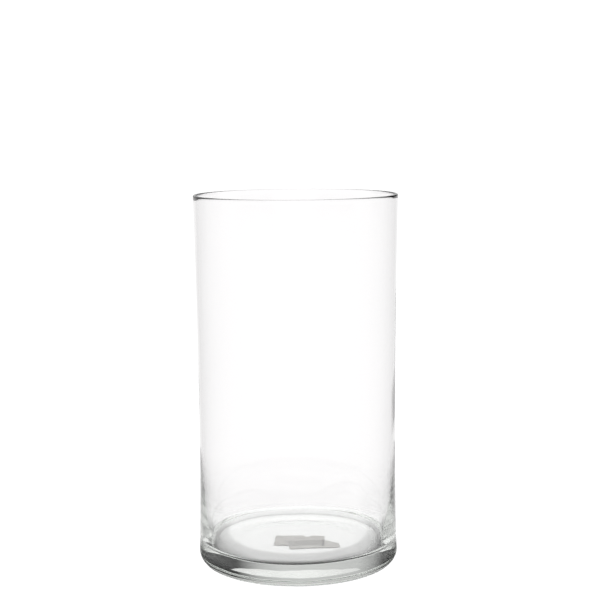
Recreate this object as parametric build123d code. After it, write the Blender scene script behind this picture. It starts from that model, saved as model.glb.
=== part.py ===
from build123d import *
import os

# A clear glass cylinder vase with a heavy base, and two paper stickers on its underside.
# Sizes are in millimetres. The vase stands on z = 0 with its axis on +Z.

# Outside of the glass
height = 275.0
rim_radius = 75.0
waist_radius = 72.8  # the narrowest place, low on the wall
waist_height = 90.0
foot_radius = 74.3  # where wall and foot would meet if the corner were sharp
foot_corner = 9.5

# Inside of the glass
wall = 2.2  # fire-polished into a half round at the lip
floor_height = 15.5
floor_flat = 53.0  # radius of the flat middle of the floor
cove_rise = 0.8  # how far the floor rises from there to the wall
floor_radius = 67.0  # where wall and floor would meet if the corner were sharp
floor_corner = 4.0

# Underside: a shallow round recess keeps the stickers off the table
recess_depth = 0.4
recess_radius = 38.0
recess_edge = 18.0  # width of the soft slope down to the foot ring

# Stickers
paper = 0.12
paper_corner = 1.5
drape = 0.15  # how far beyond the sticker beneath it the upper one steps down
price_size = (38.0, 22.0)
price_place = (0.9, -1.8)
price_turn = -3.5
stock_size = (38.0, 17.0)
stock_place = (11.9, -10.0)
stock_turn = 5.0

mouth_radius = rim_radius - wall
lip_level = height - wall / 2  # where the half round begins
floor_edge = (floor_radius, floor_height + cove_rise)
UP = Vector(0, 1)
OUT = Vector(1, 0)


def ease(start, end, heading):
    """Two equal arcs that leave start and reach end along the same heading."""
    middle = (Vector(*start) + Vector(*end)) / 2
    first = TangentArc(start, middle, tangent=heading)
    second = TangentArc(end, middle, tangent=-heading)
    return [first, second]


def underside():
    """From the axis out to the sharp foot corner."""
    ring_start = recess_radius + recess_edge
    recess = Line((0, recess_depth), (recess_radius, recess_depth))
    step = ease((recess_radius, recess_depth), (ring_start, 0), OUT)
    ring = Line((ring_start, 0), (foot_radius, 0))
    return [recess, *step, ring]


def outer_wall():
    """From the foot corner in to the waist and out again to the lip."""
    waist = (waist_radius, waist_height)
    low = TangentArc(waist, (foot_radius, 0), tangent=-UP)
    high = TangentArc(waist, (rim_radius, lip_level), tangent=UP)
    return [low, high]


def lip():
    """Half round over the top of the wall."""
    top = (rim_radius - wall / 2, height)
    return [ThreePointArc((rim_radius, lip_level), top, (mouth_radius, lip_level))]


def inner_wall():
    """From the lip down to the waist, then thickening to the sharp floor corner."""
    waist = (waist_radius - wall, waist_height)
    high = TangentArc(waist, (mouth_radius, lip_level), tangent=UP)
    thick = TangentArc(waist, floor_edge, tangent=-UP)
    return [high, thick]


def inner_floor():
    """A flat middle with a shallow cove round it, out to the sharp floor corner."""
    flat = Line((0, floor_height), (floor_flat, floor_height))
    cove = TangentArc((floor_flat, floor_height), floor_edge, tangent=OUT)
    return [flat, cove]


def make_vessel():
    axis = Line((0, floor_height), (0, recess_depth))
    outline = [*underside(), *outer_wall(), *lip(), *inner_wall(), *inner_floor(), axis]
    section = make_face(outline)
    for corner, radius in (((foot_radius, 0), foot_corner), (floor_edge, floor_corner)):
        section = fillet(section.vertices().sort_by_distance(corner)[0], radius)
    return revolve(Plane.XZ * section, Axis.Z)


def sticker_outline(size, place, turn):
    return Pos(*place) * Rot(0, 0, turn) * RectangleRounded(*size, paper_corner)


def layer(outline, number):
    """A sheet of paper's thickness, counted down from the glass."""
    return extrude(Pos(0, 0, recess_depth - (number + 1) * paper) * outline, paper)


def make_price_sticker():
    return layer(sticker_outline(price_size, price_place, price_turn), 0)


def make_stock_sticker():
    """Lies on the glass beside the price sticker and steps down over it."""
    outline = sticker_outline(stock_size, stock_place, stock_turn)
    covered = sticker_outline(price_size, price_place, price_turn)
    on_glass = layer(outline - covered, 0)
    on_paper = layer(outline & offset(covered, drape), 1)
    return on_glass + on_paper


def export_part(name, solid):
    solid.label = name
    export_step(solid, f"parts/{name}.step")


os.makedirs("parts", exist_ok=True)
export_part("glass_vessel", make_vessel())
export_part("price_sticker", make_price_sticker())
export_part("stock_sticker", make_stock_sticker())
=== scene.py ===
import math

import bmesh
import bpy
from mathutils import Matrix, Vector, noise


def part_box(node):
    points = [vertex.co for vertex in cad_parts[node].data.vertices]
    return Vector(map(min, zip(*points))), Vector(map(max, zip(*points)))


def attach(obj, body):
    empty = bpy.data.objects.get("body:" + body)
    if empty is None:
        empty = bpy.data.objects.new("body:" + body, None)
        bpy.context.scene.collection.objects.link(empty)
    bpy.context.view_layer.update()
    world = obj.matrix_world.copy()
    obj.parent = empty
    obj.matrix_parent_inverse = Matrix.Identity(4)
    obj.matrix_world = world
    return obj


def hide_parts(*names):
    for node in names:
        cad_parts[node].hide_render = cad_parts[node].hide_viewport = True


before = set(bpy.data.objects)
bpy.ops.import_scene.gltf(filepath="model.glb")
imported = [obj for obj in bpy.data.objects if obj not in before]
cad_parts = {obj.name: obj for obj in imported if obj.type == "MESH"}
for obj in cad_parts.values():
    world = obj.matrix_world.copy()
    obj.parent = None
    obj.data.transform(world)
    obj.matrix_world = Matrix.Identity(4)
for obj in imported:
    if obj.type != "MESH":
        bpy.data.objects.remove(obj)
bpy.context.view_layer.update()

# Half section of the glass, in metres, the same as the CAD part's
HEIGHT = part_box("glass_vessel")[1].z
RIM_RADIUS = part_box("glass_vessel")[1].x
WAIST_RADIUS = 0.0728
WAIST_HEIGHT = 0.090
FOOT_RADIUS = 0.0743
FOOT_CORNER = 0.0095
WALL = 0.0022
FLOOR_HEIGHT = 0.0155
FLOOR_FLAT = 0.053
COVE_RISE = 0.0008
FLOOR_RADIUS = 0.067
FLOOR_CORNER = 0.004
RECESS_DEPTH = 0.0004
RECESS_RADIUS = 0.038
RECESS_EDGE = 0.018
MOUTH_RADIUS = RIM_RADIUS - WALL
LIP_LEVEL = HEIGHT - WALL / 2  # where the half round of the lip begins
SEGMENTS = 360
UP = Vector((0, 1))
OUT = Vector((1, 0))

# Blown glass is never quite true. Each wave is its depth, the size of its lumps and its seed.
OUTER_WALL_WAVE = (0.00010, 0.060, 3)
OUTER_BASE_WAVE = (0.00035, 0.020, 11)
STRIAE_WAVE = (0.00010, 0.007, 41)
INNER_WALL_WAVE = (0.00010, 0.045, 5)
INNER_BASE_WAVE = (0.00035, 0.024, 17)
FLOOR_WAVE = (0.00030, 0.030, 31)
BASE_TOP = 0.035  # above this the base's waves are gone
STRIAE_TOP = (0.012, 0.022)  # heights over which the striae die out
STRIAE_SIDE = (-0.040, 0.020)  # they grow from the first x to the second
EVEN_LIP = 0.010  # height below the lip over which the inner wall comes true
EVEN_CENTRE = 0.030  # the floor's waves grow to full size by this radius
FLOOR_BLEND = (0.003, 0.012)  # heights above the floor over which its waves die out
DENT = {"turn": 41, "width": 15, "depth": 0.0013}  # thinner place low on the wall, in degrees from +Y
BUBBLES = (  # place and radius of the seeds trapped in the base
    (-0.0330, -0.0580, 0.0060, 0.00055),
    (-0.0100, -0.0400, 0.0090, 0.00030),
    (0.0310, 0.0220, 0.0075, 0.00035),
    (0.0480, -0.0310, 0.0100, 0.00030),
    (-0.0440, 0.0330, 0.0060, 0.00040),
)

# Glass. A grain is how many lumps a metre holds, with its detail.
REFRACTION = 1.52
GLASS_BODY = (0.65, 0.70, 0.64)  # a metre absorbs each colour by the density times 1 less this
GLASS_DENSITY = 3.4
RIPPLE_GRAIN = (35, 2)
RIPPLE_DEPTH = 0.00003
SCUFF_GRAIN = (900, 6)
SCUFF_ROUGHNESS = 0.30
SCUFFED = (0.00002, 0.0002)  # heights over which the foot ring's scuffs die out

# Stickers: size, middle and turn of each, as in the CAD part
PAPER = 0.00012
PAPER_CORNER = 0.0015
PRICE = {"size": (0.038, 0.022), "place": (0.0009, -0.0018), "turn": -3.5}
STOCK = {"size": (0.038, 0.017), "place": (0.0119, -0.0100), "turn": 5.0}
NICK = {"place": 0.0055, "depth": 0.0028, "width": (0.0015, 0.0032)}  # in the price sticker's far edge
TEAR = {"reach": 0.0105, "slope": 0.85, "rough": 0.0007, "grain": 900}  # the stock sticker's far corner
AIR_FILM = 0.00004  # left between old paper and glass
SAG = 0.00002
SAG_GRAIN = 260
STEP = PAPER + 0.00003  # how far the upper sheet drops over the lower one
SOFT_EDGE = 0.0003  # over which it drops
STEP_SHADOW_WIDTH = 0.0014  # width of the painted shadow along the edge that the upper sheet steps down from
ACROSS, ALONG = 96, 48  # squares in each sheet
PRICE_COLOURS = ((0.52, 0.50, 0.48), (0.40, 0.385, 0.37))  # light and dark
STOCK_COLOURS = ((0.52, 0.51, 0.49), (0.42, 0.405, 0.39))
MARKS = (("overlap_shade", 0.75, 0.62), ("step_shadow", 0.9, 0.25))  # attribute, strength, part of the dark colour; painted shade at the overlap and a painted shadow along the step
MOTTLE_GRAIN = (160, 4)
MOTTLE = (0.35, 0.65)  # noise levels from the dark colour to the light one
PAPER_ROUGHNESS = (0.65, 0.9)  # of the dark and the light
FIBRE_GRAIN = (4000, 3)
FIBRE_DEPTH = 0.00004
SPECKS = (0.30, 0.42)  # noise levels over which dark specks die out
SPECK_STRENGTH = 0.35

# Ground: the foot's shadow painted on it, a light oval under the vase with a dark rim round its front and
# sides, and light behind
STAGE_RADIUS = 0.14
STAGE_DROP = 0.0003  # keeps it clear of the foot
STAGE_FADE = (0.085, 0.13)  # radii over which it fades out into the sweep
OVAL_MIDDLE = 0.030  # its y
OVAL_SQUEEZE = (0.98, 0.95)  # in x and in y
OVAL_SHADE = (  # painted shadow: albedo against the squeezed distance from the oval's middle
    (0, 0.96), (0.0535, 0.96), (0.0575, 0.68), (0.066, 0.58), (0.072, 0.42), (0.078, 0.05),
    (0.11, 0.05), (0.125, 0.4), (0.15, 0.4),
)
BEHIND = (0.025, 0.070)  # the ground is light from the second y on, where the painted shadow ends
BEHIND_SHADE = 0.94

# Studio: light levels against the compass direction, in degrees from +Y
BELOW_HORIZON = (  # the same on both sides
    (0, 1.04), (4, 1.03), (10, 0.97), (22, 0.86), (36, 0.76), (60, 0.86), (90, 0.93), (180, 0.97),
)
ABOVE_HORIZON = (  # from -180 to 180, positive towards +X
    (-180, 0.85), (-160, 0.85), (-150, 0.5), (-112, 0.5), (-100, 0.85), (-82, 0.85), (-70, 0.03),
    (-48, 0.03), (-38, 0.35), (-26, 0.6), (-6, 0.66), (6, 0.66), (16, 0.5), (28, 0.03),
    (70, 0.03), (82, 0.85), (100, 0.85), (112, 0.5), (150, 0.5), (160, 0.85), (180, 0.85),
)
LOW_TINT = (1, 0.99, 0.995)  # of the light from below the horizon
LOW_LEVEL = 0.94  # share that is left where the light comes from steeply below
OVERHEAD = 1.25
STEEP = (-0.38, -0.24)  # these three are the sines of the angles between which the levels blend
HORIZON = (-0.045, -0.005)
HIGH = (0.34, 0.46)
WHITE = 1.1  # what the camera itself sees round the vase

# Camera
CAMERA_PLACE = (0, -1.080, 0.335)
SENSOR_WIDTH = 36
LENS = 88.5
PITCH, YAW, ROLL = 7.293, -0.146, -0.462  # degrees
BOUNCES = 24


def straight(start, end, count):
    start, end = Vector(start), Vector(end)
    return [start.lerp(end, i / count) for i in range(count + 1)]


def bend(start, heading, end, count):
    """Points of the arc that leaves start along heading and reaches end."""
    start, end = Vector(start), Vector(end)
    heading = Vector(heading).normalized()
    side = Vector((-heading.y, heading.x))
    step = end - start
    radius = step.length_squared / (2 * step.dot(side))
    turn = 2 * math.atan2(step.dot(side), step.dot(heading))
    angles = [turn * i / count for i in range(count + 1)]
    return [start + heading * radius * math.sin(a) + side * radius * (1 - math.cos(a)) for a in angles]


def ease(start, end, heading, count):
    """Two equal arcs that leave start and reach end along the same heading."""
    middle = (Vector(start) + Vector(end)) / 2
    first = bend(start, heading, middle, count)
    second = bend(end, -Vector(heading), middle, count)
    return first + second[-2::-1]


def rounded(before, after, radius, count):
    """Joins two runs of points that meet at a corner, with an arc of the radius in its place."""
    corner = before[-1]
    back = (before[-2] - corner).normalized()
    ahead = (after[1] - corner).normalized()
    reach = radius * math.tan((math.pi - back.angle(ahead)) / 2)
    clear = reach * 1.05  # no point stays right beside the arc's ends
    kept_before = [p for p in before if (p - corner).length > clear]
    kept_after = [p for p in after if (p - corner).length > clear]
    arc = bend(corner + back * reach, -back, corner + ahead * reach, count)
    return kept_before + arc + kept_after


def joined(*runs):
    points = list(runs[0])
    for run in runs[1:]:
        points += run[1:]
    return points


def shell_section():
    """(radius, height) points from the axis under the base, round the foot and up to the lip's top."""
    ring = RECESS_RADIUS + RECESS_EDGE
    waist = (WAIST_RADIUS, WAIST_HEIGHT)
    under = joined(
        straight((0, RECESS_DEPTH), (RECESS_RADIUS, RECESS_DEPTH), count=20),
        ease((RECESS_RADIUS, RECESS_DEPTH), (ring, 0), OUT, count=12),
        straight((ring, 0), (FOOT_RADIUS, 0), count=20),
    )
    wall = joined(
        bend(waist, -UP, (FOOT_RADIUS, 0), count=80)[::-1],
        bend(waist, UP, (RIM_RADIUS, LIP_LEVEL), count=70),
        bend((RIM_RADIUS, LIP_LEVEL), UP, (RIM_RADIUS - WALL / 2, HEIGHT), count=8),
    )
    return rounded(under, wall, FOOT_CORNER, count=24)


def hollow_section():
    """From the lip's top down the inner wall and across the floor to the axis."""
    waist = (WAIST_RADIUS - WALL, WAIST_HEIGHT)
    corner = (FLOOR_RADIUS, FLOOR_HEIGHT + COVE_RISE)
    wall = joined(
        bend((RIM_RADIUS - WALL / 2, HEIGHT), -OUT, (MOUTH_RADIUS, LIP_LEVEL), count=8)[:-1],
        bend(waist, UP, (MOUTH_RADIUS, LIP_LEVEL), count=70)[::-1],
        bend(waist, -UP, corner, count=80),
    )
    cove = bend((FLOOR_FLAT, FLOOR_HEIGHT), OUT, corner, count=40)[::-1]
    floor = joined(cove, straight((FLOOR_FLAT, FLOOR_HEIGHT), (0, FLOOR_HEIGHT), count=24))
    return rounded(wall, floor, FLOOR_CORNER, count=16)


def fade(value, start, end):
    """1 up to start, 0 from end, smooth between."""
    share = min(max((value - start) / (end - start), 0), 1)
    return 1 - share * share * (3 - 2 * share)


def wave(point, depth, size, seed):
    """Smooth unevenness between about -depth and depth, in lumps of the size."""
    return depth * noise.noise(point / size + Vector((seed, 0, 0)))


def shell_wave(point):
    """How far the outside of the glass is out of true: (outward, upward)."""
    low = fade(point.z, 0.0, BASE_TOP)
    striae = fade(point.z, *STRIAE_TOP) * (1 - fade(point.x, *STRIAE_SIDE)) * wave(point, *STRIAE_WAVE)
    return wave(point, *OUTER_WALL_WAVE) + low * (wave(point, *OUTER_BASE_WAVE) + striae), 0.0


def dent(point, low):
    """Depth of the thinner place in the inner wall."""
    off = math.degrees(math.atan2(point.x, point.y)) - DENT["turn"]
    near_wall = 1 - fade(point.xy.length, FLOOR_FLAT, FLOOR_RADIUS - FLOOR_CORNER)
    return DENT["depth"] * math.exp(-(off / DENT["width"]) ** 2) * low * near_wall


def hollow_wave(point):
    """The same as shell_wave, for the inside."""
    low = fade(point.z, FLOOR_HEIGHT, FLOOR_HEIGHT + BASE_TOP)
    wall = fade(point.z, HEIGHT - EVEN_LIP, HEIGHT)
    outward = wall * (wave(point, *INNER_WALL_WAVE) + low * wave(point, *INNER_BASE_WAVE))
    floor = fade(point.z - FLOOR_HEIGHT, *FLOOR_BLEND)
    centred = 1 - fade(point.xy.length, 0.0, EVEN_CENTRE)
    return outward + dent(point, low), floor * centred * wave(point, *FLOOR_WAVE)


def turned(mesh, runs, segments):
    """Turns runs about Z into a closed solid. A run is its points and how they are out of true."""
    points = [(point, uneven) for section, uneven in runs for point in section]
    ends = [mesh.verts.new((0, 0, points[i][0].y)) for i in (0, -1)]
    rings = []
    for (radius, height), uneven in points[1:-1]:
        ring = []
        for i in range(segments):
            angle = 2 * math.pi * i / segments
            outward, upward = uneven(Vector((radius * math.cos(angle), radius * math.sin(angle), height)))
            reach = radius + outward
            spot = (reach * math.cos(angle), reach * math.sin(angle), height + upward)
            ring.append(mesh.verts.new(spot))
        rings.append(ring)
    for i in range(segments):
        j = (i + 1) % segments
        mesh.faces.new((ends[0], rings[0][j], rings[0][i]))
        mesh.faces.new((ends[1], rings[-1][i], rings[-1][j]))
        for below, above in zip(rings, rings[1:]):
            mesh.faces.new((below[i], below[j], above[j], above[i]))
    bmesh.ops.recalc_face_normals(mesh, faces=mesh.faces)


def add_bubbles(mesh):
    """Small hollow balls inside the glass, so their faces look inwards."""
    for *place, radius in BUBBLES:
        ball = bmesh.ops.create_icosphere(
            mesh, subdivisions=3, radius=radius, matrix=Matrix.Translation(place)
        )
        faces = {face for vert in ball["verts"] for face in vert.link_faces}
        bmesh.ops.reverse_faces(mesh, faces=list(faces))


def finished(name, mesh, material):
    data = bpy.data.meshes.new(name)
    mesh.to_mesh(data)
    mesh.free()
    data.shade_smooth()
    data.materials.append(material)
    piece = bpy.data.objects.new(name, data)
    bpy.context.collection.objects.link(piece)
    return piece


def feed(tree, values, sockets):
    """Sets each socket to its number or colour, or links it to another node's output."""
    for value, socket in zip(values, sockets):
        if isinstance(value, (int, float)):
            socket.default_value = value
        elif isinstance(value, tuple):
            socket.default_value = (*value, 1)
        else:
            tree.links.new(value, socket)


def math_node(tree, kind, *values):
    node = tree.nodes.new("ShaderNodeMath")
    node.operation = kind
    feed(tree, values, node.inputs)
    return node.outputs[0]


def range_node(tree, value, start, end, low=0.0, high=1.0):
    """Runs smoothly from low to high as the value runs from start to end."""
    node = tree.nodes.new("ShaderNodeMapRange")
    node.interpolation_type = "SMOOTHSTEP"
    node.inputs["From Min"].default_value = start
    node.inputs["From Max"].default_value = end
    node.inputs["To Min"].default_value = low
    node.inputs["To Max"].default_value = high
    tree.links.new(value, node.inputs["Value"])
    return node.outputs["Result"]


def ramp_node(tree, value, stops, tint=(1, 1, 1)):
    """A level that follows the (place, level) stops."""
    start, reach = stops[0][0], stops[-1][0] - stops[0][0]
    node = tree.nodes.new("ShaderNodeValToRGB")
    share = math_node(tree, "DIVIDE", math_node(tree, "SUBTRACT", value, start), reach)
    tree.links.new(share, node.inputs["Fac"])
    elements = node.color_ramp.elements
    while len(elements) < len(stops):
        elements.new(0.5)
    for element, (place, level) in zip(elements, stops):
        element.position = (place - start) / reach
        element.color = (*(level * part for part in tint), 1)
    return node.outputs["Color"]


def mix_node(tree, share, first, second, blend="MIX"):
    """Mixes two colours, whose sockets are numbered 6 and 7, with the result at 2."""
    node = tree.nodes.new("ShaderNodeMix")
    node.data_type = "RGBA"
    node.blend_type = blend
    feed(tree, (share, first, second), (node.inputs["Factor"], node.inputs[6], node.inputs[7]))
    return node.outputs[2]


def mix_shader_node(tree, share, first, second):
    node = tree.nodes.new("ShaderNodeMixShader")
    feed(tree, (share, first, second), node.inputs)
    return node.outputs[0]


def noise_node(tree, place, scale, detail):
    node = tree.nodes.new("ShaderNodeTexNoise")
    node.inputs["Scale"].default_value = scale
    node.inputs["Detail"].default_value = detail
    tree.links.new(place, node.inputs["Vector"])
    return node.outputs["Fac"]


def bump_node(tree, height, distance):
    node = tree.nodes.new("ShaderNodeBump")
    node.inputs["Distance"].default_value = distance
    node.inputs["Strength"].default_value = 1.0
    tree.links.new(height, node.inputs["Height"])
    return node.outputs["Normal"]


def new_material(name):
    material = bpy.data.materials.new(name)
    material.use_nodes = True
    tree = material.node_tree
    return material, tree, tree.nodes["Principled BSDF"]


def object_place(tree):
    return tree.nodes.new("ShaderNodeTexCoord").outputs["Object"]


def camera_ray(tree):
    """1 where the camera looks straight at the surface, 0 where light reaches it some other way."""
    return tree.nodes.new("ShaderNodeLightPath").outputs["Is Camera Ray"]


def separate(tree, vector):
    node = tree.nodes.new("ShaderNodeSeparateXYZ")
    tree.links.new(vector, node.inputs[0])
    return node.outputs


def clear_glass():
    """Soda-lime glass with a faint green-grey body, fine ripples and a foot ring scuffed by use."""
    material, tree, shader = new_material("clear_glass")
    shader.inputs["Base Color"].default_value = (1, 1, 1, 1)
    shader.inputs["IOR"].default_value = REFRACTION
    shader.inputs["Transmission Weight"].default_value = 1.0
    place = object_place(tree)
    height = separate(tree, place)["Z"]
    scuffs = math_node(tree, "MULTIPLY", noise_node(tree, place, *SCUFF_GRAIN), SCUFF_ROUGHNESS)
    worn = range_node(tree, height, *SCUFFED, 1.0, 0.0)
    tree.links.new(math_node(tree, "MULTIPLY", scuffs, worn), shader.inputs["Roughness"])
    ripples = noise_node(tree, place, *RIPPLE_GRAIN)
    tree.links.new(bump_node(tree, ripples, RIPPLE_DEPTH), shader.inputs["Normal"])
    volume = tree.nodes.new("ShaderNodeVolumeAbsorption")
    volume.inputs["Color"].default_value = (*GLASS_BODY, 1)
    volume.inputs["Density"].default_value = GLASS_DENSITY
    tree.links.new(volume.outputs[0], tree.nodes["Material Output"].inputs["Volume"])
    return material


def label_paper(name, light, dark):
    """Old label paper: mottled by its glue, with fine fibres, and darker by painted shade where the
    sheets overlap and a painted shadow along the upper sheet's step.
    """
    material, tree, shader = new_material(name)
    place = object_place(tree)
    mottle = range_node(tree, noise_node(tree, place, *MOTTLE_GRAIN), *MOTTLE)
    colour = mix_node(tree, mottle, dark, light)
    fibres = noise_node(tree, place, *FIBRE_GRAIN)
    colour = mix_node(tree, range_node(tree, fibres, *SPECKS, SPECK_STRENGTH, 0.0), colour, dark)
    # each mark paints shade: darker where the sheets overlap, and a shadow line along the upper sheet's
    # step
    for mark, share, depth in MARKS:
        painted = tree.nodes.new("ShaderNodeAttribute")
        painted.attribute_name = mark
        shaded = math_node(tree, "MULTIPLY", painted.outputs["Fac"], share)
        colour = mix_node(tree, shaded, colour, tuple(depth * part for part in dark))
    tree.links.new(colour, shader.inputs["Base Color"])
    tree.links.new(range_node(tree, mottle, 0, 1, *PAPER_ROUGHNESS), shader.inputs["Roughness"])
    tree.links.new(bump_node(tree, fibres, FIBRE_DEPTH), shader.inputs["Normal"])
    return material


def make_vessel():
    mesh = bmesh.new()
    runs = ((shell_section(), shell_wave), (hollow_section()[1:], hollow_wave))
    turned(mesh, runs, SEGMENTS)
    add_bubbles(mesh)
    vessel = finished("glass_vessel_body", mesh, clear_glass())
    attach(vessel, "root")
    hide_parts("glass_vessel")


def to_glass(sticker, x, y):
    """A point of the sticker's own sheet, as a place on the underside of the glass."""
    turn = Matrix.Rotation(math.radians(sticker["turn"]), 2)
    return turn @ Vector((x, y)) + Vector(sticker["place"])


def from_glass(sticker, spot):
    turn = Matrix.Rotation(math.radians(-sticker["turn"]), 2)
    return turn @ (spot - Vector(sticker["place"]))


def covers(sticker, spot):
    """1 well inside the sticker, 0 outside it, with a soft edge."""
    local = from_glass(sticker, spot)
    inside = min(half / 2 - abs(part) for half, part in zip(sticker["size"], local))
    return 1 - fade(inside, -SOFT_EDGE, SOFT_EDGE)


def price_top(x):
    """The price sticker's far edge has a small nick where it was picked at."""
    return PRICE["size"][1] / 2 - NICK["depth"] * fade(abs(x - NICK["place"]), *NICK["width"])


def stock_top(x):
    """The stock sticker's far right corner is torn off along a slant."""
    half_width, half_depth = STOCK["size"][0] / 2, STOCK["size"][1] / 2
    slant = half_depth - TEAR["slope"] * (x - half_width + TEAR["reach"])
    rough = TEAR["rough"] * noise.noise(Vector((TEAR["grain"] * x, 0, 0)))
    return min(half_depth, slant + rough)


def sheet_spot(size, top, u, v):
    """A point of the sheet from u and v, both from -1 to 1, with its corners rounded."""
    half_width, half_depth = size[0] / 2, size[1] / 2
    x = u * half_width
    y = -half_depth + (v + 1) / 2 * (top(x) + half_depth)
    inner = Vector((half_width - PAPER_CORNER, half_depth - PAPER_CORNER))
    over = Vector((abs(x) - inner.x, abs(y) - inner.y))
    if over.x > 0 and over.y > 0 and over.length > PAPER_CORNER:
        over *= PAPER_CORNER / over.length
        x = math.copysign(inner.x + over.x, x)
        y = math.copysign(inner.y + over.y, y)
    return x, y


def sheet_side(mesh, sticker, top, level, other, depth):
    """Rows of points for one side of a sheet, marked for painted shade where the sheets overlap and a
    painted shadow along the step.
    """
    overlap_shade, step_shadow = (mesh.verts.layers.float[mark] for mark, *_ in MARKS)
    half_width = sticker["size"][0] / 2
    grid = []
    for i in range(ACROSS + 1):
        row = []
        for j in range(ALONG + 1):
            x, y = sheet_spot(sticker["size"], top, 2 * i / ACROSS - 1, 2 * j / ALONG - 1)
            spot = to_glass(sticker, x, y)
            under = covers(other, spot)
            # painted shadow along the price sticker's right edge, where the upper sheet steps down
            step_shadow_strip = fade(half_width - x, STEP_SHADOW_WIDTH, 1.5 * STEP_SHADOW_WIDTH) if level == 0 else 0
            sag = SAG * (1 + noise.noise(Vector((*(spot * SAG_GRAIN), level))))
            z = RECESS_DEPTH - AIR_FILM - sag - depth - level * under * STEP
            vert = mesh.verts.new((*spot, z))
            # painted shade where the sheets overlap, and the painted shadow along the step
            vert[overlap_shade] = under
            vert[step_shadow] = step_shadow_strip * under
            row.append(vert)
        grid.append(row)
    return grid


def close_sheet(mesh, upper, lower):
    """Faces over both sides of the sheet and round its edge."""
    for i in range(ACROSS):
        for j in range(ALONG):
            mesh.faces.new((upper[i][j], upper[i + 1][j], upper[i + 1][j + 1], upper[i][j + 1]))
            mesh.faces.new((lower[i][j], lower[i][j + 1], lower[i + 1][j + 1], lower[i + 1][j]))
    edge = [(i, 0) for i in range(ACROSS)] + [(ACROSS, j) for j in range(ALONG)]
    edge += [(i, ALONG) for i in range(ACROSS, 0, -1)] + [(0, j) for j in range(ALONG, 0, -1)]
    for (i, j), (k, m) in zip(edge, edge[1:] + edge[:1]):
        mesh.faces.new((upper[i][j], lower[i][j], lower[k][m], upper[k][m]))
    bmesh.ops.recalc_face_normals(mesh, faces=mesh.faces)


def make_sticker(name, sticker, top, level, other, material):
    """A thin, slightly wavy sheet of paper. Level 1 lies over the other sticker, level 0 under it."""
    mesh = bmesh.new()
    for mark, *_ in MARKS:
        mesh.verts.layers.float.new(mark)
    upper, lower = (sheet_side(mesh, sticker, top, level, other, depth) for depth in (0, PAPER))
    close_sheet(mesh, upper, lower)
    piece = finished(name + "_sheet", mesh, material)
    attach(piece, "root")
    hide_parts(name)


def painted_foot_shadow(tree, place):
    """The foot's shadow painted into the ground's colour: a light oval, a dark rim round its front and
    sides, and light behind.
    """
    parts = separate(tree, place)
    offset = math_node(tree, "SUBTRACT", parts["Y"], OVAL_MIDDLE)
    aside = math_node(tree, "MULTIPLY", parts["X"], OVAL_SQUEEZE[0])
    ahead = math_node(tree, "MULTIPLY", offset, OVAL_SQUEEZE[1])
    squares = [math_node(tree, "MULTIPLY", part, part) for part in (aside, ahead)]
    reach = math_node(tree, "SQRT", math_node(tree, "ADD", *squares))
    behind = range_node(tree, parts["Y"], *BEHIND)
    return mix_node(tree, behind, ramp_node(tree, reach, OVAL_SHADE), (BEHIND_SHADE,) * 3)


def pale_floor():
    """Matt ground that fades out into the sweep, with the foot's shadow painted into its colour. The
    camera itself sees it as plain white.
    """
    material, tree, shader = new_material("pale_floor")
    shader.inputs["Roughness"].default_value = 1.0
    shader.inputs["Specular IOR Level"].default_value = 0.0
    place = object_place(tree)
    # painted shadow of the foot in the ground's colour
    tree.links.new(painted_foot_shadow(tree, place), shader.inputs["Base Color"])
    radius = tree.nodes.new("ShaderNodeVectorMath")
    radius.operation = "LENGTH"
    tree.links.new(place, radius.inputs[0])
    clear = tree.nodes.new("ShaderNodeBsdfTransparent").outputs[0]
    white = tree.nodes.new("ShaderNodeEmission")
    white.inputs["Strength"].default_value = WHITE
    faded = range_node(tree, radius.outputs["Value"], *STAGE_FADE)
    ground = mix_shader_node(tree, faded, shader.outputs[0], clear)
    seen = mix_shader_node(tree, camera_ray(tree), ground, white.outputs[0])
    tree.links.new(seen, tree.nodes["Material Output"].inputs["Surface"])
    return material


def make_floor():
    mesh = bmesh.new()
    bmesh.ops.create_circle(mesh, cap_ends=True, segments=96, radius=STAGE_RADIUS)
    ground = finished("floor", mesh, pale_floor())
    ground.location.z = -STAGE_DROP


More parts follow.
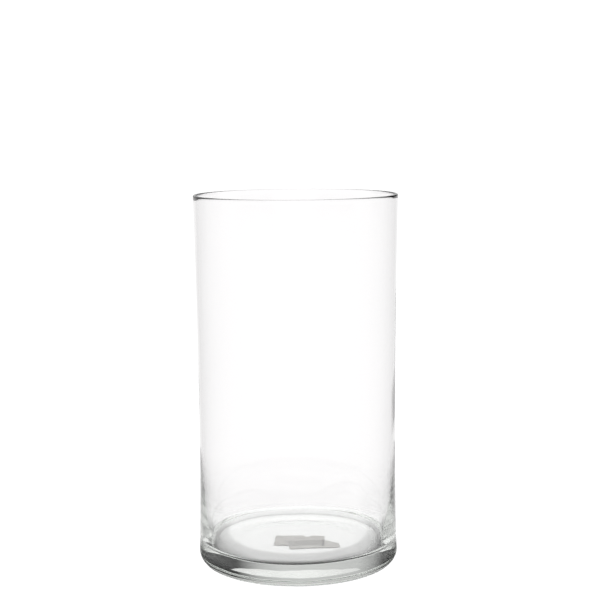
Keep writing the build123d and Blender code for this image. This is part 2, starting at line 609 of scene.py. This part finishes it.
def make_studio():
    """Soft white light from all round and overhead, with dark flags low over the horizon."""
    world = bpy.data.worlds.new("studio")
    bpy.context.scene.world = world
    world.use_nodes = True
    tree = world.node_tree
    parts = separate(tree, tree.nodes.new("ShaderNodeTexCoord").outputs["Generated"])
    turn = math_node(tree, "DEGREES", math_node(tree, "ARCTAN2", parts["X"], parts["Y"]))
    below = ramp_node(tree, math_node(tree, "ABSOLUTE", turn), BELOW_HORIZON, LOW_TINT)
    dimmer = mix_node(tree, range_node(tree, parts["Z"], *STEEP), (LOW_LEVEL,) * 3, (1, 1, 1))
    below = mix_node(tree, 1, below, dimmer, "MULTIPLY")
    above = ramp_node(tree, turn, ABOVE_HORIZON)
    above = mix_node(tree, range_node(tree, parts["Z"], *HIGH), above, (OVERHEAD,) * 3)
    sky = mix_node(tree, range_node(tree, parts["Z"], *HORIZON), below, above)
    seen = mix_node(tree, camera_ray(tree), sky, (WHITE,) * 3)
    tree.links.new(seen, tree.nodes["Background"].inputs["Color"])


def make_camera():
    data = bpy.data.cameras.new("camera")
    data.sensor_width = SENSOR_WIDTH
    data.lens = LENS
    camera = bpy.data.objects.new("camera", data)
    bpy.context.collection.objects.link(camera)
    camera.location = CAMERA_PLACE
    pitch, yaw, roll = (math.radians(angle) for angle in (PITCH, YAW, ROLL))
    heading = Matrix.Rotation(yaw, 3, "Z") @ Matrix.Rotation(math.pi / 2 - pitch, 3, "X")
    camera.rotation_euler = (heading @ Matrix.Rotation(roll, 3, "Z")).to_euler()
    bpy.context.scene.camera = camera


def set_light_paths():
    """Enough bounces for light that runs along inside the base, and sharp refractions."""
    scene = bpy.context.scene
    scene.view_settings.view_transform = "Standard"
    scene.cycles.max_bounces = BOUNCES
    scene.cycles.transmission_bounces = BOUNCES
    scene.cycles.glossy_bounces = BOUNCES
    scene.cycles.blur_glossy = 0


make_vessel()
price_paper = label_paper("price_paper", *PRICE_COLOURS)
stock_paper = label_paper("stock_paper", *STOCK_COLOURS)
make_sticker("price_sticker", PRICE, price_top, 0, STOCK, price_paper)
make_sticker("stock_sticker", STOCK, stock_top, 1, PRICE, stock_paper)
make_floor()
make_studio()
make_camera()
set_light_paths()
